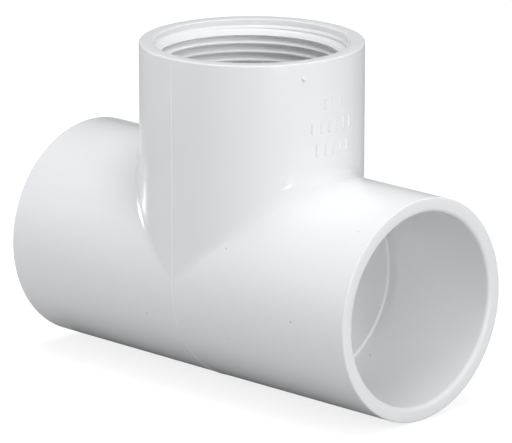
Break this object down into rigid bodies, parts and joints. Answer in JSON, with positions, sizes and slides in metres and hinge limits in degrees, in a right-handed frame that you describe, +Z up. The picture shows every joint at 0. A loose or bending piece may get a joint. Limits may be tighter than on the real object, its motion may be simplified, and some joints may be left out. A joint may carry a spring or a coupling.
{
  "type": "pipe tee fitting",
  "caption": "Rigid plastic pipe tee: two solvent-weld sockets in line and a tapered female pipe thread in the branch.",
  "frame": {"origin": "where the run axis and the branch axis cross", "axes": "+X along the run towards one of its two like sockets, +Z up the branch out of its threaded mouth, +Y square to both"},
  "size_m": [0.116, 0.056, 0.0856],
  "materials": {
    "moulding": "glossy moulded white rigid PVC"
  },
  "bodies": {
    "root": {"centre_body": "moulding", "run_socket_left": "moulding", "run_socket_right": "moulding", "branch_hub": "moulding", "branch_thread": "moulding", "crotch_fillet_left": "moulding", "crotch_fillet_right": "moulding", "parting_line": "moulding", "vent_pip": "moulding", "marking_row_1": "moulding", "marking_row_2": "moulding", "marking_row_3": "moulding"}
  },
  "joints": []
}
